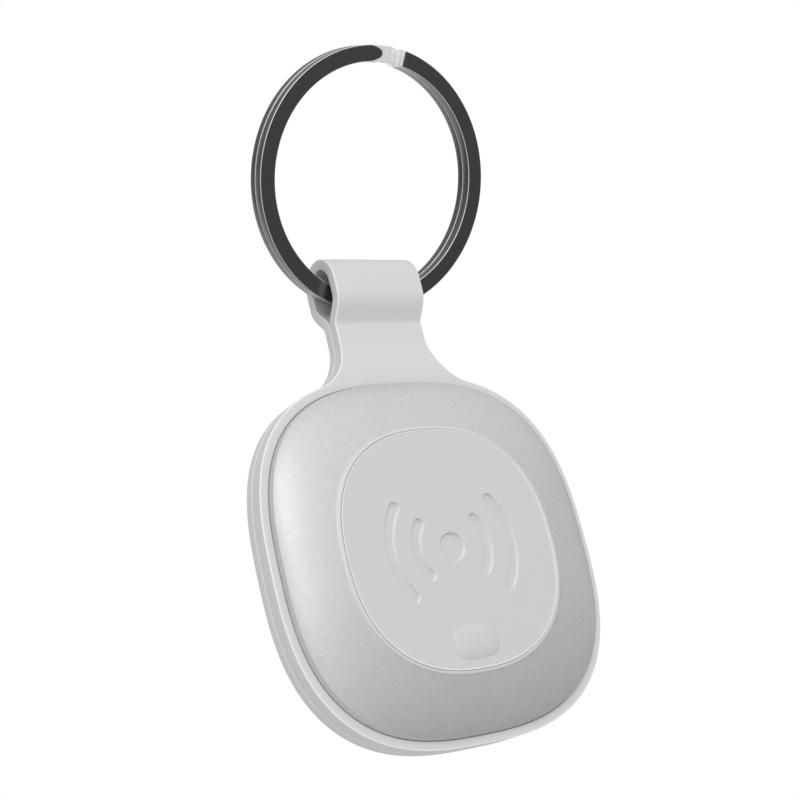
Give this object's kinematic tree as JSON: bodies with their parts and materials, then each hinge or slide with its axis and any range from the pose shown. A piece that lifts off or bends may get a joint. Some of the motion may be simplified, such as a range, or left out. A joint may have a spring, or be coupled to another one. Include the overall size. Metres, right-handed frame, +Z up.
{
  "type": "bluetooth tracker tag",
  "caption": "Rounded-square wireless tracker tag in a folded silicone strap on a split key ring, with a press button and a twist-off battery door.",
  "frame": {"origin": "point at the top of the key ring's inside, where a hook or another ring holds it", "axes": "+Z up along the tag's length, the tag's front faces -Y, +X to the right seen from the front"},
  "size_m": [0.039, 0.0175, 0.072],
  "materials": {
    "ring_steel": "black nickel plate, satin faces with bright edges",
    "silicone": "matte moulded silicone",
    "metal_coat": "fine metallic pearl lacquer",
    "panel_plastic": "smooth matte",
    "back_plastic": "fine spark-eroded texture",
    "foam_tape": "matte foam tape",
    "contact_steel": "nickel-plated spring steel",
    "board": "solder mask",
    "chip": "moulded epoxy",
    "cell_steel": "nickel-plated steel",
    "ceramic": "fired ceramic",
    "brass": "rolled brass",
    "holder_plastic": "glass-filled nylon",
    "seal_rubber": "nitrile rubber"
  },
  "bodies": {
    "ring": {"key_ring": "ring_steel"},
    "tag": {"strap": "silicone", "front_shell": "metal_coat", "front_panel": "panel_plastic", "panel_tape": "foam_tape", "switch_body": "contact_steel", "circuit_board": "board", "radio_chip": "chip", "memory_chip": "chip", "crystal": "cell_steel", "chip_antenna": "ceramic", "buzzer_coil": "chip", "capacitor_1": "ceramic", "capacitor_2": "ceramic", "capacitor_3": "ceramic", "capacitor_4": "ceramic", "buzzer_gasket": "foam_tape", "buzzer_plate": "brass", "buzzer_ceramic": "ceramic", "buzzer_spring_plate": "contact_steel", "buzzer_spring_ceramic": "contact_steel", "cell_can": "cell_steel", "cell_cap": "cell_steel", "cell_grommet": "holder_plastic", "contact_positive": "contact_steel", "contact_negative": "contact_steel", "cell_holder": "holder_plastic", "screw_1": "contact_steel", "screw_2": "contact_steel", "screw_3": "contact_steel", "back_shell": "back_plastic"},
    "button": {"button_cap": "panel_plastic", "switch_plunger": "contact_steel"},
    "door": {"battery_door": "back_plastic", "door_seal": "seal_rubber"}
  },
  "joints": [
    {"name": "tag_swing", "type": "hinge", "parent": "ring", "child": "tag", "pos_m": [0, 0.01171, -0.02174], "axis": [1, 0, 0], "range_deg": [-123, 180]},
    {"name": "button_press", "type": "slide", "parent": "tag", "child": "button", "axis": [0, 1, 0], "range_m": [0, 0.00025], "stiffness_N_per_m": 400},
    {"name": "battery_door_twist", "type": "hinge", "parent": "tag", "child": "door", "pos_m": [0, 0.01171, -0.05071], "axis": [0, 1, 0], "range_deg": [0, 25]}
  ]
}
